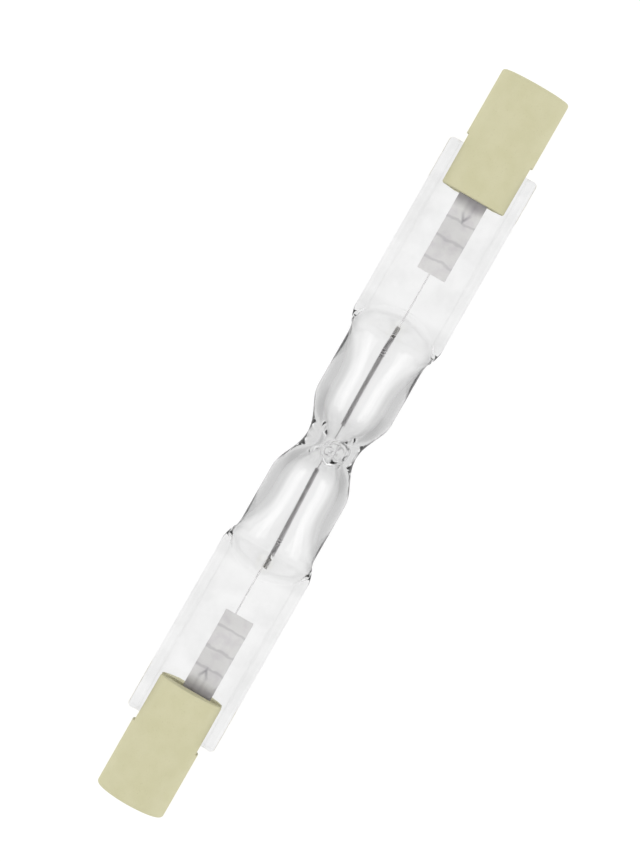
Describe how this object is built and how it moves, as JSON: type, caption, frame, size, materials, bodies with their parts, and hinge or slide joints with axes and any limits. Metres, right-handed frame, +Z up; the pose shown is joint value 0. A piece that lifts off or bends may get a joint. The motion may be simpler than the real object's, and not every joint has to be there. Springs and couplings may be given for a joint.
{
  "type": "linear halogen bulb",
  "caption": "Double-ended linear halogen lamp: clear two-chamber quartz tube with flat press seals, coiled filament and cylindrical ceramic caps with sunk contacts.",
  "frame": {"origin": "centre of the lamp, on the tube's axis at the middle of the waist, which is also its centre of mass", "axes": "+X along the lamp towards the right cap, +Z up on the side of the sealed exhaust tip, both press seals flat in XY"},
  "size_m": [0.0782, 0.0094, 0.0083],
  "materials": {
    "quartz": "clear fire-polished fused quartz",
    "ceramic": "matt unglazed cream steatite",
    "cement": "rough pale grey refractory cement",
    "contact_metal": "pressed nickel-plated contact",
    "molybdenum": "drawn molybdenum wire",
    "foil": "bright rolled molybdenum foil",
    "tungsten": "drawn and coiled tungsten wire"
  },
  "bodies": {
    "root": {"quartz_envelope": "quartz", "ceramic_cap_left": "ceramic", "ceramic_cap_right": "ceramic", "cement_left": "cement", "cement_right": "cement", "contact_left": "contact_metal", "contact_right": "contact_metal", "outer_lead_left": "molybdenum", "outer_lead_right": "molybdenum", "foil_left": "foil", "foil_right": "foil", "inner_lead_left": "tungsten", "inner_lead_right": "tungsten", "filament": "tungsten"}
  },
  "joints": []
}
